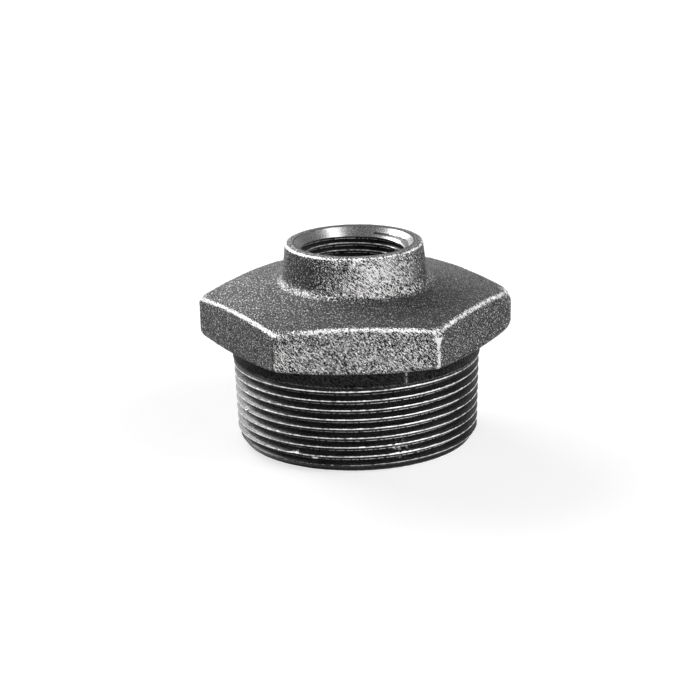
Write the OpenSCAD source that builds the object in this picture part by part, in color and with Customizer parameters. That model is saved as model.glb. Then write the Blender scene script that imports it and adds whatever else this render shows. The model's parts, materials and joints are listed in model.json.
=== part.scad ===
// Hexagon reducing bush with a raised socket, cast in one piece in malleable iron.
// The taper thread at the bottom screws into the larger line, and the smaller pipe
// screws into the boss on top. Z is the pipe axis, and z = 0 is the male end face.

/* [Male thread] */
// Major diameter at the gauge plane
male_major_d = 59.6; // [56:0.1:62]
// Threads to the inch
male_tpi = 11; // [8:1:14]
// Distance from the end face to the gauge plane
male_gauge_l = 15.9; // [8:0.1:20]
// Length of the threaded stretch, from the end face to the neck
male_thread_l = 21.3; // [16:0.1:30]
// Taper of the thread on diameter, one in this many
thread_taper = 16; // [12:1:32]
// Length over which the roots run out below the neck
runout_l = 1.8; // [1:0.1:4]
// How far the lead chamfer goes in from the crests at the end face
lead_depth = 1.7; // [1:0.1:3]
// Angle of the lead chamfer from the axis
lead_angle = 35; // [25:1:60]
// Angle round the axis at which a crest leaves the end face
thread_start = 327; // [0:1:359]
// Columns of facets round the threaded stretch
thread_sides = 48; // [36:4:60]

/* [Neck] */
// Step from the thread's crests out to the plain neck
neck_step = 0.15; // [0.1:0.05:1]
// Length of the neck, from the thread to the underside of the hexagon
neck_l = 3.6; // [2:0.1:8]
// Radius of the fillet between the neck and the underside
neck_fillet_r = 1.2; // [0.5:0.1:1.8]

/* [Hexagon] */
// Width across the flats
hex_af = 66; // [65:0.5:75]
// Height of a flat at its middle
hex_flat_h = 11; // [8:0.1:16]
// Radius of the upright corners
hex_corner_r = 1.9; // [0.5:0.1:4]
// Slope of the cone on the underside
under_slope = 11.5; // [0:0.5:15]
// Slope of the cone on the top, up to the boss
top_slope = 10; // [5:0.5:20]

/* [Boss] */
// Diameter of the boss at its rim
boss_d = 33.5; // [32:0.1:38]
// Height of the rim above the top edge of a flat, at the flat's middle
boss_h = 12.3; // [10:0.1:20]
// Draft of the boss on each side
boss_draft = 5.5; // [0:0.5:8]
// Radius of the fillet between the boss and the cone
boss_fillet_r = 2.5; // [1:0.1:5]
// Radius of the rim's outer edge
rim_edge_r = 0.9; // [0.3:0.1:1.2]

/* [Socket for the smaller pipe] */
// Diameter of the socket's wall, the thread's minor diameter
socket_d = 24.12; // [20:0.01:25]
// Length of the socket's wall below the countersink
socket_l = 15.5; // [12:0.5:18]
// Diameter of the countersink at the rim
countersink_d = 28.8; // [27:0.1:30]
// Angle of the countersink from the axis
countersink_angle = 45; // [30:1:60]

/* [Cored hollow] */
// Width of the flat ring that is left on the end face
end_ring_w = 4.1; // [2.5:0.1:6]
// Draft of the hollow on each side
core_draft = 2; // [0.5:0.5:4]
// Slope of the hollow's roof, down from the socket
roof_slope = 24; // [10:1:35]
// Radius between the hollow's wall and its roof
core_corner_r = 5; // [2:0.5:6]

/* [Hidden] */
iron = [0.16, 0.16, 0.17];
$fn = 96;
INCH = 25.4;
// Whitworth form: height of the ridge and width of a crest or a root, in pitches
RIDGE_H = 0.6403;
CREST_W = 1 / 6;
// Edges of the crest and of the root, in pitches from the middle of the crest
ROW_PHASES = [-CREST_W / 2, CREST_W / 2, (1 - CREST_W) / 2, (1 + CREST_W) / 2];
ROWS = len(ROW_PHASES);
// Spare turns of rows that are pressed flat on the two ends of the threaded stretch
LOW_TURNS = 2;
HIGH_TURNS = 4;
// A point this close to an end of the threaded stretch is moved onto the end
SNAP = 0.02;
// Straight steps in a fillet, and in a corner of the hexagon
ARC_STEPS = 8;
CORNER_STEPS = 4;
// How far a cutter stands out of what it cuts
OVERRUN = 2;

male_pitch = INCH / male_tpi;
ridge_h = RIDGE_H * male_pitch;
neck_r = crest_r(male_thread_l) + neck_step;
end_r = crest_r(0) - lead_depth;
core_r = end_r - end_ring_w;
socket_r = socket_d / 2;
under_z = male_thread_l + neck_l;
flat_low_z = under_z + (hex_af / 2 - neck_r) * tan(under_slope);
flat_top_z = flat_low_z + hex_flat_h;
rim_z = flat_top_z + boss_h;
countersink_h = (countersink_d / 2 - socket_r) / tan(countersink_angle);
socket_z = rim_z - countersink_h - socket_l;
corner_radius = hex_af / 2 / cos(30);

// Radius of the crests, and of the lead chamfer, at a height above the end face
function crest_r(z) = male_major_d / 2 + (z - male_gauge_l) / thread_taper / 2;
function lead_r(z) = end_r + z * tan(lead_angle);

// Point that lies at one distance outside both of two lines, each a point and its normal
function meet(pa, na, pb, nb, out = 0) =
    let (ca = pa * na + out)
    let (cb = pb * nb + out)
    [ca * nb.y - cb * na.y, cb * na.x - ca * nb.x] / (na.x * nb.y - na.y * nb.x);

// Arc that rounds the corner of two lines, or fills it where the radius is negative
function corner_arc(pa, na, pb, nb, r) =
    let (start = atan2(na.y, na.x))
    let (sweep = (atan2(nb.y, nb.x) - start + 540) % 360 - 180)
    let (centre = meet(pa, na, pb, nb, -r))
    [
        for (i = [0 : ARC_STEPS])
            let (a = start + sweep * i / ARC_STEPS)
            centre + r * [cos(a), sin(a)]
    ];

// Height of a row of points in a column of the threaded stretch, pressed onto its ends
function row_z(column, row) =
    let (turns = floor(row / ROWS) - LOW_TURNS + ROW_PHASES[row % ROWS])
    let (z = (turns + (column / thread_sides) - thread_start / 360) * male_pitch)
    z < SNAP ? 0 : z > male_thread_l - SNAP ? male_thread_l : z;

// Share of the ridge that is cut away at a distance from the middle of a crest, in pitches
function cut_share(off) = min(1, max(0, (off - CREST_W / 2) / (1 / 2 - CREST_W)));
// Share of the full cut that is left as the roots run out below the neck
function runout_share(z) = min(1, (male_thread_l - z) / runout_l);

// Point of the threaded stretch in a column and a row
function thread_point(column, row) =
    let (z = row_z(column, row))
    let (phase = z / male_pitch - column / thread_sides + thread_start / 360)
    let (cut = ridge_h * cut_share(abs(phase - round(phase))) * runout_share(z))
    let (r = min(crest_r(z) - cut, lead_r(z)))
    let (angle = 360 * column / thread_sides)
    [r * cos(angle), r * sin(angle), z];

// Threaded stretch: a tapered shank with one right-hand helical ridge, closed at both ends
module threaded_stretch() {
    rows = ROWS * (ceil(male_thread_l / male_pitch) + LOW_TURNS + HIGH_TURNS);
    columns = [0 : thread_sides - 1];
    points = [for (column = columns) for (row = [0 : rows - 1]) thread_point(column, row)];
    low_centre = len(points);
    high_centre = low_centre + 1;
    // After a whole turn, a row has become the same row of the next turn
    next = [
        for (column = columns)
            column < thread_sides - 1 ? (column + 1) * rows : ROWS
    ];
    last = [for (column = columns) column < thread_sides - 1 ? rows - 2 : rows - 2 - ROWS];
    sides = [
        for (column = columns)
            for (row = [0 : last[column]])
                let (here = column * rows + row)
                let (there = next[column] + row)
                each [
                    if (points[here].z != points[here + 1].z) [here, here + 1, there + 1],
                    if (points[there].z != points[there + 1].z) [here, there + 1, there]
                ]
    ];
    ends = [
        for (column = columns)
            let (here = column * rows)
            let (there = (column + 1) % thread_sides * rows)
            each [
                [low_centre, here, there],
                [high_centre, there + rows - 1, here + rows - 1]
            ]
    ];
    polyhedron(
        points = concat(points, [[0, 0, 0], [0, 0, male_thread_l]]),
        faces = concat(sides, ends),
        convexity = 10
    );
}

// Half section of the neck, the hexagon's two cones and the boss
function turned_outline() =
    let (past_r = corner_radius + OVERRUN)
    let (neck = [neck_r, under_z])
    let (under_n = [sin(under_slope), -cos(under_slope)])
    let (flat_top = [hex_af / 2, flat_top_z])
    let (top_n = [sin(top_slope), cos(top_slope)])
    let (rim = [boss_d / 2, rim_z])
    let (boss_n = [cos(boss_draft), sin(boss_draft)])
    concat(
        [[0, male_thread_l], [neck_r, male_thread_l]],
        corner_arc(neck, [1, 0], neck, under_n, -neck_fillet_r),
        [
            [past_r, under_z + (past_r - neck_r) * tan(under_slope)],
            [past_r, flat_top_z - (past_r - hex_af / 2) * tan(top_slope)]
        ],
        corner_arc(flat_top, top_n, rim, boss_n, -boss_fillet_r),
        corner_arc(rim, boss_n, rim, [0, 1], rim_edge_r),
        [[0, rim_z]]
    );

// Outline of the hexagon, with its corners rounded
function hexagon_outline() =
    let (centre_r = corner_radius - hex_corner_r / cos(30))
    [
        for (corner = [0 : 5])
            for (i = [0 : CORNER_STEPS])
                let (a = 60 * corner - 30 + 60 * i / CORNER_STEPS)
                centre_r * [cos(60 * corner), sin(60 * corner)] + hex_corner_r * [cos(a), sin(a)]
    ];

// Half section of the way through: cored hollow, socket and countersink
function waterway_outline() =
    let (wall_n = [cos(core_draft), sin(core_draft)])
    let (roof_n = [sin(roof_slope), cos(roof_slope)])
    concat(
        [[0, -OVERRUN], [core_r + OVERRUN * tan(core_draft), -OVERRUN]],
        corner_arc([core_r, 0], wall_n, [socket_r, socket_z], roof_n, core_corner_r),
        [
            [socket_r, socket_z],
            [socket_r, rim_z - countersink_h],
            [countersink_d / 2 + OVERRUN * tan(countersink_angle), rim_z + OVERRUN],
            [0, rim_z + OVERRUN]
        ]
    );

// Neck, hexagon and boss, turned and then cut to six flats
module hexagon_and_boss() {
    intersection() {
        rotate_extrude() polygon(turned_outline());
        linear_extrude(height = rim_z + OVERRUN) polygon(hexagon_outline());
    }
}

// The whole casting, open from the male end to the rim
module reducer_body() {
    color(iron)
    difference() {
        union() {
            threaded_stretch();
            hexagon_and_boss();
        }
        rotate_extrude() polygon(waterway_outline());
    }
}

reducer_body();
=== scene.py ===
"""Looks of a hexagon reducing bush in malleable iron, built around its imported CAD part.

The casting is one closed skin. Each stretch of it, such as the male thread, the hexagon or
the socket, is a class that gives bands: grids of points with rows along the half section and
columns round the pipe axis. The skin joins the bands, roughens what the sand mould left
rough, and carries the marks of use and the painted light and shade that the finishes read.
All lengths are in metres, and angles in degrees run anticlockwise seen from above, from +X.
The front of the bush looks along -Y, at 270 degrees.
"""

import json
import logging
import math
from dataclasses import dataclass, field
from enum import Enum

import bpy
import numpy as np
from mathutils import Matrix, Vector, noise


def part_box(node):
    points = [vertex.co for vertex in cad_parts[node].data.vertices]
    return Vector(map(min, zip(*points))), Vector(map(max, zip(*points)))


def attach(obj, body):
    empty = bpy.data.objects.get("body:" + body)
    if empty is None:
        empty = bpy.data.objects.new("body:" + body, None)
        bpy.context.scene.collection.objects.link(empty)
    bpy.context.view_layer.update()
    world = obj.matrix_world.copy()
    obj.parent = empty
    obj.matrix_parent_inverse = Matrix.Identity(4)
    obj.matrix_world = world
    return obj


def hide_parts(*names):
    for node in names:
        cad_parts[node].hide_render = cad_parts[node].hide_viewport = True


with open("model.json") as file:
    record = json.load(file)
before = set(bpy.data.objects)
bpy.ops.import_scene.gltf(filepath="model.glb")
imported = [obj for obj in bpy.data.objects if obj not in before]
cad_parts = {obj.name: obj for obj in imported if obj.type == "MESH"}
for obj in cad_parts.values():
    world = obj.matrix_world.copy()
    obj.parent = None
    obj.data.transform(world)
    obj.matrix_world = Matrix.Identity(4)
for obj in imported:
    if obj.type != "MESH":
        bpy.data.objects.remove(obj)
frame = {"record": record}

Array = np.ndarray
Ring = tuple[Array, Array]
Span = tuple[float, float]
Socket = bpy.types.NodeSocket
MM = 0.001
INCH = 25.4 * MM
NODE = "reducer_body"
BODY = "root"
# What each point of the skin carries for the finishes to read: how rough the sand left it,
# how worn an edge is, the painted light and shade it is given, and where crests, roots (with their
# painted glint) and the mouth lie
SHARES = ("sand", "edge", "tone", "crest", "root", "mouth")
# Step from the thread's crests out to the plain neck
NECK_STEP = 0.15 * MM
# Spans that hold nearly all values of a noise, and most of them
ALL_NOISE = (0.3, 0.7)
MOST_NOISE = (0.35, 0.65)
# Degrees from the middle of one flat of the hexagon to the next, and to a corner
FLAT_TO_FLAT = 60.0
FLAT_TO_CORNER = 30.0
WHITE = (1.0, 1.0, 1.0, 1.0)
LOG = logging.getLogger("reducer")


class Zone(Enum):
    """Stretch of the skin with a finish of its own. The value is the finish's index."""

    SKIN = 0
    THREAD = 1
    MOUTH = 2
    NECK = 3
    CORE = 4


def unit(angle: float) -> Array:
    """Unit vector, two numbers, at an angle in degrees."""
    return np.array([math.cos(math.radians(angle)), math.sin(math.radians(angle))])


def direction(azimuth: float, elevation: float) -> Vector:
    """Unit vector at degrees from the front, towards +X, and degrees above the floor."""
    side, up = math.radians(azimuth), math.radians(elevation)
    return Vector((math.sin(side) * math.cos(up), -math.cos(side) * math.cos(up), math.sin(up)))


def smooth(value: Array, low: float, high: float) -> Array:
    """Turns values into shares that rise smoothly, from 0 at low to 1 at high."""
    t = np.clip((value - low) / (high - low), 0.0, 1.0)
    return t * t * (3 - 2 * t)


def between(first: Array, last: Array, rows: int) -> Array:
    """Rows that run evenly from one row to another, with both left out.

    Args:
        first: Row that the run starts from.
        last: Row that the run goes to.
        rows: How many rows are given.

    Returns:
        A grid of that many rows.
    """
    share = np.linspace(0.0, 1.0, rows + 2)[1:-1, None]
    first, last = np.broadcast_arrays(np.atleast_1d(first), np.atleast_1d(last))
    return first[None, :] * (1 - share) + last[None, :] * share


def quarter_turn(rows: int) -> Array:
    """Angles in radians from 0 to a right angle, one a row."""
    return np.radians(np.linspace(0, 90, rows))[:, None]


def even_angles(columns: int) -> Array:
    """Angles of evenly spaced columns."""
    return np.arange(columns) * 360.0 / columns


def corner_arc(pa: Array, na: Array, pb: Array, nb: Array, radius: float, rows: int) -> Array:
    """Arc that rounds the corner of two lines, or fills it where the radius is negative.

    Args:
        pa: Point on the first line, as radius and height.
        na: Unit normal of the first line.
        pb: Point on the second line.
        nb: Unit normal of the second line.
        radius: Radius of the arc, negative for a fillet.
        rows: Number of points on the arc.

    Returns:
        The arc's points, one a row, from the first line to the second.
    """
    sides = np.array([na, nb])
    centre = np.linalg.solve(sides, [pa @ na - radius, pb @ nb - radius])
    start = math.atan2(na[1], na[0])
    sweep = math.atan2(nb[1], nb[0]) - start
    turns = start + sweep * np.linspace(0.0, 1.0, rows)
    return centre + radius * np.column_stack([np.cos(turns), np.sin(turns)])


@dataclass(frozen=True)
class Hump:
    """Soft rise of a share round the axis, or a dip where its height is negative."""

    centre: float
    width: float
    height: float = 1.0

    def at(self, angle: Array) -> Array:
        """Gives the rise at some angles. A third of it is left at the width to either side."""
        off = (angle - self.centre + 180.0) % 360.0 - 180.0
        return self.height * np.exp(-((off / self.width) ** 2))


@dataclass(frozen=True)
class RoundShare:
    """Share that changes round the axis: a base with humps on it."""

    base: float
    humps: tuple[Hump, ...]

    def at(self, angle: Array) -> Array:
        """Gives the share at some angles."""
        return self.base + sum(hump.at(angle) for hump in self.humps)


@dataclass
class Band:
    """Grid of points with rows along the half section and columns round the axis."""

    zone: Zone
    angle: Array
    radius: Array
    height: Array
    sand: Array | float = 0.0
    edge: Array | float = 0.0
    tone: Array | float = 1.0
    crest: Array | float = 0.0
    root: Array | float = 0.0
    mouth: Array | float = 0.0
    wrap: int = 0

    def __post_init__(self) -> None:
        """Gives every field the shape of the grid."""
        self.radius = np.atleast_2d(self.radius)
        rows = max(len(self.radius), len(np.atleast_2d(self.height)))
        shape = (rows, len(self.angle))
        for name in ("radius", "height", *SHARES):
            value = np.asarray(getattr(self, name), float)
            setattr(self, name, np.broadcast_to(value, shape).copy())

    def points(self) -> Array:
        """Gives the grid's points.

        Returns:
            The points, one a line.
        """
        turn = np.radians(self.angle)[None, :]
        grid = [self.radius * np.cos(turn), self.radius * np.sin(turn), self.height]
        return np.stack(grid, axis=-1).reshape(-1, 3)


def turned(zone: Zone, angle: Array, outline: Array, **shares: Array | float) -> Band:
    """Band of a turned half section, with the shares in numbers a row or one for all."""
    columns = {name: np.reshape(value, (-1, 1)) for name, value in shares.items()}
    return Band(zone, angle, outline[:, :1], outline[:, 1:], **columns)


@dataclass(frozen=True)
class RoundedThread:
    """Pipe thread form of 55 degrees with rounded crests and roots, in shares of its pitch."""

    pitch: float
    start: float
    flank: float = 27.5
    rounding: float = 0.1373
    depth: float = 0.6403
    rows: tuple[float, ...] = (0, 0.06, 0.122, 0.25, 0.378, 0.44, 0.5, 0.56, 0.622, 0.75, 0.878, 0.94)
    crest_span: Span = (0.02, 0.11)
    lit_span: Span = (0.26, 0.44)
    root_span: Span = (0.43, 0.5)

    @staticmethod
    def off(phase: Array) -> Array:
        """Distance from the nearest crest, in pitches."""
        return np.abs(phase - np.round(phase))

    def cut(self, phase: Array) -> Array:
        """Depth below the crests.

        Args:
            phase: Distance along the axis from a crest, in pitches.

        Returns:
            Depth in metres.
        """
        off = self.off(phase)
        near = np.minimum(off, 0.5 - off)
        slope = math.radians(self.flank)
        touch = self.rounding * math.cos(slope)
        arc = self.rounding - np.sqrt(np.maximum(self.rounding**2 - np.minimum(near, touch) ** 2, 0))
        depth = arc + np.maximum(near - touch, 0) / math.tan(slope)
        return self.pitch * np.where(off <= 0.25, depth, self.depth - depth)

    def phase(self, angle: Array, height: Array) -> Array:
        """Distance from a crest, in pitches, of places at an angle and a height."""
        return height / self.pitch - (angle - self.start) / 360.0

    def heights(self, angle: Array, low: float, high: float, snap: float) -> Array:
        """Heights of rows that follow the helix, pressed onto the ends of the thread.

        Args:
            angle: Angles of the columns.
            low: Lower end of the thread.
            high: Upper end of the thread.
            snap: Points this close to an end are moved onto it.

        Returns:
            A grid of heights that rise with the row.
        """
        # Turns enough to pass both ends at every angle
        first = math.floor(low / self.pitch) - 2
        last = math.ceil(high / self.pitch) + 3
        whole = np.arange(first, last)[:, None] + np.array(self.rows)[None, :]
        rows = (whole.reshape(-1, 1) + (angle - self.start)[None, :] / 360.0) * self.pitch
        rows = np.where(rows < low + snap, low, rows)
        return np.where(rows > high - snap, high, rows)

    def crest(self, phase: Array) -> Array:
        """Share from 0 on a flank to 1 on a crest."""
        return 1 - smooth(self.off(phase), *self.crest_span)

    def lit_flank(self, phase: Array) -> Array:
        """Share from 1 on a crest and the flanks to 0 in a root."""
        return 1 - smooth(self.off(phase), *self.lit_span)

    def root(self, phase: Array) -> Array:
        """Share from 0 on a flank to 1 at the bottom of a root."""
        return smooth(self.off(phase), *self.root_span)


@dataclass
class MaleThread:
    """Taper thread at the bottom, from the end face to the neck."""

    gauge_d: float = 59.6 * MM
    gauge_z: float = 15.9 * MM
    length: float = 21.3 * MM
    taper: float = 1 / 32
    runout: float = 2.2 * MM
    lead_depth: float = 1.7 * MM
    lead_angle: float = 35.0
    end_edge: float = 0.35 * MM
    end_ring: float = 4.1 * MM
    columns: int = 192
    snap: float = 0.05 * MM
    form: RoundedThread = RoundedThread(INCH / 11, 327.0)
    end_wear: tuple[float, ...] = (0.35, 0.35, 0.35, 0.5, 0.85)
    # Heights over which the crests' wear, the painted glint in the roots and the painted light on the
    # left flanks come in above the end face, and over which that light fades to what is left of it
    crest_from: Span = (0.6 * MM, 2.6 * MM)
    root_from: Span = (1.0 * MM, 2.6 * MM)
    light_from: Span = (1.5 * MM, 3.4 * MM)
    light_until: Span = (15 * MM, 20 * MM)
    light_left: float = 0.2
    edge_wear: float = 0.75
    edge_until: Span = (0.1 * MM, 0.4 * MM)
    crest_wear: RoundShare = RoundShare(1.0, (Hump(303, 15, 0.25), Hump(331, 9, -0.2)))
    # A painted glint in the roots, brightest towards the front right
    root_painted_glint: RoundShare = RoundShare(0.55, (Hump(292, 26, 0.45),))
    # A painted light on the flanks at the left side, where a lamp lights them, and how much of the
    # roots' glint it hides
    light: Hump = Hump(186, 29)
    light_gain: float = 38.0
    glint_lost: float = 0.8

    def crest_r(self, height: Array | float) -> Array | float:
        """Radius of the crests at a height."""
        return self.gauge_d / 2 + (height - self.gauge_z) * self.taper

    @property
    def end_r(self) -> float:
        """Radius of the end face."""
        return self.crest_r(0.0) - self.lead_depth

    @property
    def core_r(self) -> float:
        """Radius of the hollow's mouth in the end face."""
        return self.end_r - self.end_ring

    def end_face(self) -> Band:
        """Builds the flat ring that the bush stands on.

        Returns:
            The band, from the hollow's mouth out to the lead chamfer.
        """
        rows = len(self.end_wear)
        radii = np.linspace(self.core_r, self.end_r - self.end_edge, rows)
        outline = np.column_stack([radii, np.zeros(rows)])
        return turned(Zone.THREAD, even_angles(self.columns), outline, crest=self.end_wear)

    def thread(self) -> Band:
        """Builds the helical thread with its lead chamfer and the run-out under the neck.

        Returns:
            The band, from the end face up to the neck.
        """
        angle = even_angles(self.columns)
        height = self.form.heights(angle, 0.0, self.length, self.snap)
        phase = self.form.phase(angle[None, :], height)
        left = np.clip((self.length - height) / self.runout, 0, 1)
        cut = self.form.cut(phase) * np.sqrt(left)
        crests = self.crest_r(height)
        slope = math.tan(math.radians(self.lead_angle))
        lead = self.end_r + height * slope
        inset = np.clip(self.end_edge - height, 0, None) ** 2 / self.end_edge
        radius = np.minimum(crests - cut, lead) - inset
        # Painted light on the left flanks, and a painted glint in the roots
        lit = self._painted_flank_light(angle, height)
        root = self.form.root(phase) * left * smooth(height, *self.root_from)
        return Band(
            Zone.THREAD, angle, radius, height,
            crest=self._worn(angle, height, phase),
            root=root * (1 - self.glint_lost * lit) * self.root_painted_glint.at(angle),
            tone=1.0 + self.light_gain * lit * self.form.lit_flank(phase),
            wrap=len(self.form.rows),
        )

    def _worn(self, angle: Array, height: Array, phase: Array) -> Array:
        """Gives the wear of the crests and of the end face's outer edge.

        Args:
            angle: Angles of the columns.
            height: Heights of the grid's points.
            phase: Their distances from a crest, in pitches.

        Returns:
            Shares for the whole grid.
        """
        crests = self.form.crest(phase) * smooth(height, *self.crest_from)
        edge = self.edge_wear * (1 - smooth(height, *self.edge_until))
        return np.maximum(crests * self.crest_wear.at(angle), edge)

    def _painted_flank_light(self, angle: Array, height: Array) -> Array:
        """Gives the share of painted light on the flanks at the left, where a lamp lights them."""
        lit = 1 - (1 - self.light_left) * smooth(height, *self.light_until)
        return lit * smooth(height, *self.light_from) * self.light.at(angle)


@dataclass
class Neck:
    """Plain neck between the thread and the hexagon, with its fillet. Its near black skin is a painted
    shade under the hexagon.
    """

    bottom_z: float
    radius: float
    length: float = 3.6 * MM
    fillet: float = 1.2 * MM
    under_slope: float = 11.5
    sand: float = 0.15
    ledge: float = 0.06 * MM
    # The ledge over the thread is kept seven times as bright as the rest of the neck's darkened skin
    ledge_tone: float = 7.0
    columns: int = 192
    wall_rows: int = 7
    fillet_rows: int = 7
    # The mould's joint: a thin bright line, a painted highlight on its lip, with columns of its own
    # close round it
    seam: float = 291.6
    seam_reach: float = 1.6
    seam_columns: int = 23
    seam_highlight: Hump = Hump(292.3, 0.4, 20.0)
    seam_rise: float = 0.8 * MM

    @property
    def under_z(self) -> float:
        """Height at which the neck would meet the underside without a fillet."""
        return self.bottom_z + self.length

    def under(self, radius: Array | float) -> Array | float:
        """Height of the hexagon's coned underside at a radius."""
        return self.under_z + (radius - self.radius) * math.tan(math.radians(self.under_slope))

    def band(self) -> Band:
        """Builds the ledge over the thread, the neck and its fillet.

        Returns:
            The band, from the thread out to the underside.
        """
        corner = np.array([self.radius, self.under_z])
        down = unit(self.under_slope - 90)
        arc = corner_arc(corner, unit(0), corner, down, -self.fillet, self.fillet_rows)
        ledge = [(self.radius - self.ledge, self.bottom_z), (self.radius, self.bottom_z + self.ledge)]
        wall = between(np.array(ledge[-1]), arc[0], self.wall_rows)
        outline = np.vstack([ledge, wall, arc])
        extra = self.seam + np.linspace(-self.seam_reach, self.seam_reach, self.seam_columns)
        angle = np.unique(np.round(np.r_[even_angles(self.columns), extra], 4))
        risen = smooth(outline[:, 1:], self.bottom_z, self.bottom_z + self.seam_rise)
        tone = 1.0 + self.seam_highlight.at(angle) * risen
        tone[: len(ledge)] = self.ledge_tone
        return Band(Zone.NECK, angle, outline[:, :1], outline[:, 1:], sand=self.sand, tone=tone)


@dataclass
class Hexagon:
    """Spanner hexagon between two cones, with rounded corners and worn edges.

    What changes from flat to flat starts with the flat at 30 degrees, and what changes from
    corner to corner starts with the corner at 0 degrees. The fifth flat is the front one.
    """

    across_flats: float
    under: Neck
    flat_height: float = 11.0 * MM
    corner_r: float = 1.9 * MM
    least_corner_r: float = 0.05 * MM
    low_edge: float = 0.7 * MM
    top_edge: float = 0.95 * MM
    top_slope: float = 10.0
    columns: int = 540
    outline_points: int = 7201
    under_rows: int = 5
    face_rows: int = 24
    top_rows: int = 7
    cone_rows: int = 36
    fillet_gap: float = 0.25 * MM
    # How much softer both edges are at a corner, and on the knocked corner at the right
    corner_reach: Span = (0.8, 2.6)
    low_softer: float = 0.5
    top_softer: float = 0.6
    knocked: RoundShare = RoundShare(1.0, (Hump(0, 3.5, 0.8),))
    flat_sand: tuple[float, ...] = (0.8, 0.85, 0.85, 0.95, 1.0, 0.8)
    under_sand: float = 0.5
    cone_sand: float = 0.72
    # Painted light and shade: each flat is lighter or darker by how the lamps fall on it, the front
    # flat lightest, and the coned top is painted lighter towards the left
    flat_painted_light: tuple[float, ...] = (0.6, 0.9, 0.7, 0.11, 0.94, 0.17)
    cone_painted_light: RoundShare = RoundShare(0.11, (Hump(185, 42, 0.095), Hump(335, 55, -0.03)))
    # The lower edge, row by row from the underside up. Its grey darkens towards the underside, a
    # painted shade under the hexagon
    low_wear: tuple[float, ...] = (0.55, 0.2, 0.1, 0.1, 0.1, 0.1)
    low_painted_shade: Span = (0.1, 1.0)
    # The upper edge, flat by flat. Across its rows the wear follows these degrees of a wave
    top_wear: tuple[float, ...] = (0.68, 0.72, 0.6, 0.77, 0.75, 0.71)
    top_wave: Span = (20, 160)
    top_spared: RoundShare = RoundShare(1.0, (Hump(244.5, 4, -0.4),))
    # Wear of the upright corners; the front right one also has a painted highlight and is the
    # brightest. It spreads, in degrees, towards the top of the flats
    upright_wear_and_highlight: tuple[float, ...] = (0.4, 0.5, 0.3, 0.3, 0.1, 0.95)
    upright_reach: float = 1.15
    upright_core: float = 0.3
    upright_spread: float = 2.8
    spread_from: float = 0.72

    @property
    def apothem(self) -> float:
        """Distance from the axis to a flat."""
        return self.across_flats / 2

    @property
    def flat_top_z(self) -> float:
        """Height of a flat's top edge at the flat's middle, before rounding."""
        return self.under.under(self.apothem) + self.flat_height

    def top(self, radius: Array | float) -> Array | float:
        """Height of the coned top at a radius."""
        slope = math.tan(math.radians(self.top_slope))
        return self.flat_top_z - (radius - self.apothem) * slope

    def outline(self, angle: Array, inset: Array | float = 0.0) -> Array:
        """Radius of the hexagon's outline.

        Args:
            angle: Angles at which the radius is wanted.
            inset: How far the outline is moved in.

        Returns:
            Radius at each angle.
        """
        half = math.radians(FLAT_TO_CORNER)
        from_flat = np.radians(np.abs((angle % FLAT_TO_FLAT) - FLAT_TO_CORNER))
        apothem = self.apothem - inset
        rounding = np.maximum(self.corner_r - inset, self.least_corner_r)
        centre = (apothem - rounding) / math.cos(half)
        touch = np.arctan2(centre * 0.5, apothem)
        side = half - from_flat
        root = np.maximum(rounding**2 - (centre * np.sin(side)) ** 2, 0)
        arc = centre * np.cos(side) + np.sqrt(root)
        return np.where(from_flat > touch, arc, apothem / np.cos(from_flat))

    def angles(self) -> Array:
        """Spaces the columns evenly along the outline.

        Returns:
            Their angles.
        """
        fine = np.linspace(0.0, 360.0, self.outline_points)
        radius = self.outline(fine)
        x, y = radius * np.cos(np.radians(fine)), radius * np.sin(np.radians(fine))
        travelled = np.concatenate([[0], np.cumsum(np.hypot(np.diff(x), np.diff(y)))])
        wanted = np.arange(self.columns) * travelled[-1] / self.columns
        return np.interp(wanted, travelled, fine)

    @staticmethod
    def by_flat(angle: Array, values: tuple[float, ...]) -> Array:
        """Gives each column its flat's value."""
        return np.array(values)[np.floor(angle / FLAT_TO_FLAT).astype(int) % 6]

    @staticmethod
    def by_corner(angle: Array, values: tuple[float, ...]) -> Array:
        """Gives each column its nearest corner's value."""
        return np.array(values)[np.round(angle / FLAT_TO_FLAT).astype(int) % 6]

    @staticmethod
    def from_corner(angle: Array) -> Array:
        """Degrees from each column to the nearest corner."""
        return np.abs(((angle + FLAT_TO_CORNER) % FLAT_TO_FLAT) - FLAT_TO_CORNER)

    def _low_edge(self, angle: Array, size: Array) -> tuple[Array, Array]:
        """Rounds the lower edge of the flats.

        Args:
            angle: Angles of the columns.
            size: Radius of the rounding at each column.

        Returns:
            Radii and heights, row by row from the underside up.
        """
        turns = quarter_turn(len(self.low_wear))
        radius = self.outline(angle[None, :], size[None, :] * (1 - np.sin(turns)))
        return radius, self.under.under(radius) + size[None, :] * (1 - np.cos(turns))

    def _top_edge(self, angle: Array, size: Array) -> tuple[Array, Array]:
        """Rounds the upper edge of the flats.

        Args:
            angle: Angles of the columns.
            size: Radius of the rounding at each column.

        Returns:
            Radii and heights, row by row from the flats up.
        """
        turns = quarter_turn(self.top_rows)
        radius = self.outline(angle[None, :], size[None, :] * (1 - np.cos(turns)))
        return radius, self.top(radius) - size[None, :] * (1 - np.sin(turns))

    def _upright(self, angle: Array) -> Array:
        """Gives the wear of the upright corners, with a painted highlight on the front right one.

        Args:
            angle: Angles of the columns.

        Returns:
            Shares for each row of the flats.
        """
        rise = np.linspace(0.0, 1.0, self.face_rows)[:, None]
        reach = self.upright_reach + self.upright_spread * smooth(rise, self.spread_from, 1.0)
        near = 1 - smooth(self.from_corner(angle)[None, :], self.upright_core * reach, reach)
        return near * self.by_corner(angle, self.upright_wear_and_highlight)

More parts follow.
